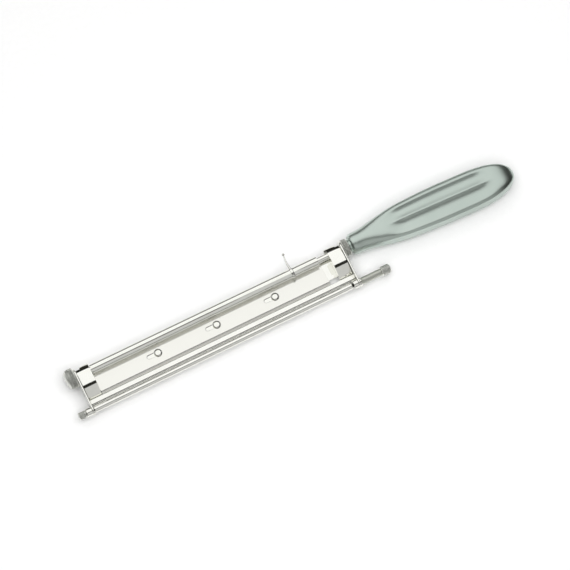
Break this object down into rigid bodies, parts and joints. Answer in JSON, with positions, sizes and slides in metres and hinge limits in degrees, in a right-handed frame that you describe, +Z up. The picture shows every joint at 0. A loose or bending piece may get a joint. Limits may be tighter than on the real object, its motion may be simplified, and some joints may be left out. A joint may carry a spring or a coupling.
{
  "type": "skin graft knife",
  "caption": "Hand dermatome: long keyhole-mounted blade between end blocks, swinging guard with roller, ball-ended clamp lever, knurled knobs and a fluted paddle handle.",
  "frame": {"origin": "middle of the bounding box in plan, on the surface that the knife rests on", "axes": "+X along the spine rod towards the handle, -Y towards the cutting edge and roller, +Z up through the blade's stud heads"},
  "size_m": [0.313, 0.0404, 0.0135],
  "materials": {
    "polished_steel": "mirror polished",
    "blade_steel": "fine ground",
    "satin_steel": "bead blasted satin",
    "knurled_steel": "knurled",
    "dark_steel": "blackened"
  },
  "bodies": {
    "frame": {"spine_rod": "polished_steel", "handle": "satin_steel", "left_end_block": "polished_steel", "right_end_block": "polished_steel", "left_rear_lug": "polished_steel", "right_rear_lug": "polished_steel", "blade_bed": "polished_steel", "blade_studs": "polished_steel", "bed_screws": "satin_steel", "block_pins": "satin_steel"},
    "blade": {"blade": "blade_steel"},
    "clamp": {"clamp_tube": "polished_steel", "clamp_lever": "polished_steel", "lever_screw": "dark_steel"},
    "guard": {"left_arm": "polished_steel", "right_arm": "polished_steel", "guard_bar": "polished_steel", "roller_spindle": "dark_steel", "roller_bush": "satin_steel", "left_collar": "polished_steel", "shank_washer": "polished_steel", "grip_shank": "satin_steel"},
    "roller": {"roller": "polished_steel"},
    "clamp_knob": {"clamp_knob": "knurled_steel"},
    "lock_nut": {"lock_nut": "knurled_steel"},
    "spindle_nut": {"spindle_nut": "knurled_steel"},
    "shank_knob": {"shank_knob": "knurled_steel"}
  },
  "joints": [
    {"name": "guard_swing", "type": "hinge", "parent": "frame", "child": "guard", "pos_m": [0, 0.00685, 0.00676], "axis": [-1, 0, 0], "range_deg": [-5, 60]},
    {"name": "roller_spin", "type": "hinge", "parent": "guard", "child": "roller", "pos_m": [0, -0.017, 0.00576], "axis": [1, 0, 0], "continuous": true},
    {"name": "clamp_turn", "type": "hinge", "parent": "frame", "child": "clamp", "pos_m": [0, 0.00685, 0.00676], "axis": [-1, 0, 0], "range_deg": [0, 40]},
    {"name": "blade_slide", "type": "slide", "parent": "frame", "child": "blade", "axis": [1, 0, 0], "range_m": [0, 0.0055]},
    {"name": "clamp_knob_turn", "type": "hinge", "parent": "frame", "child": "clamp_knob", "pos_m": [-0.1505, 0.00685, 0.00676], "axis": [-1, 0, 0], "range_deg": [0, 360]},
    {"name": "lock_nut_turn", "type": "hinge", "parent": "frame", "child": "lock_nut", "pos_m": [0.0393, 0.00685, 0.00676], "axis": [1, 0, 0], "range_deg": [0, 360]},
    {"name": "spindle_nut_turn", "type": "hinge", "parent": "guard", "child": "spindle_nut", "pos_m": [-0.1545, -0.017, 0.00576], "axis": [-1, 0, 0], "range_deg": [0, 360]},
    {"name": "shank_knob_turn", "type": "hinge", "parent": "guard", "child": "shank_knob", "pos_m": [0.0563, -0.017, 0.00576], "axis": [1, 0, 0], "range_deg": [0, 360]}
  ]
}
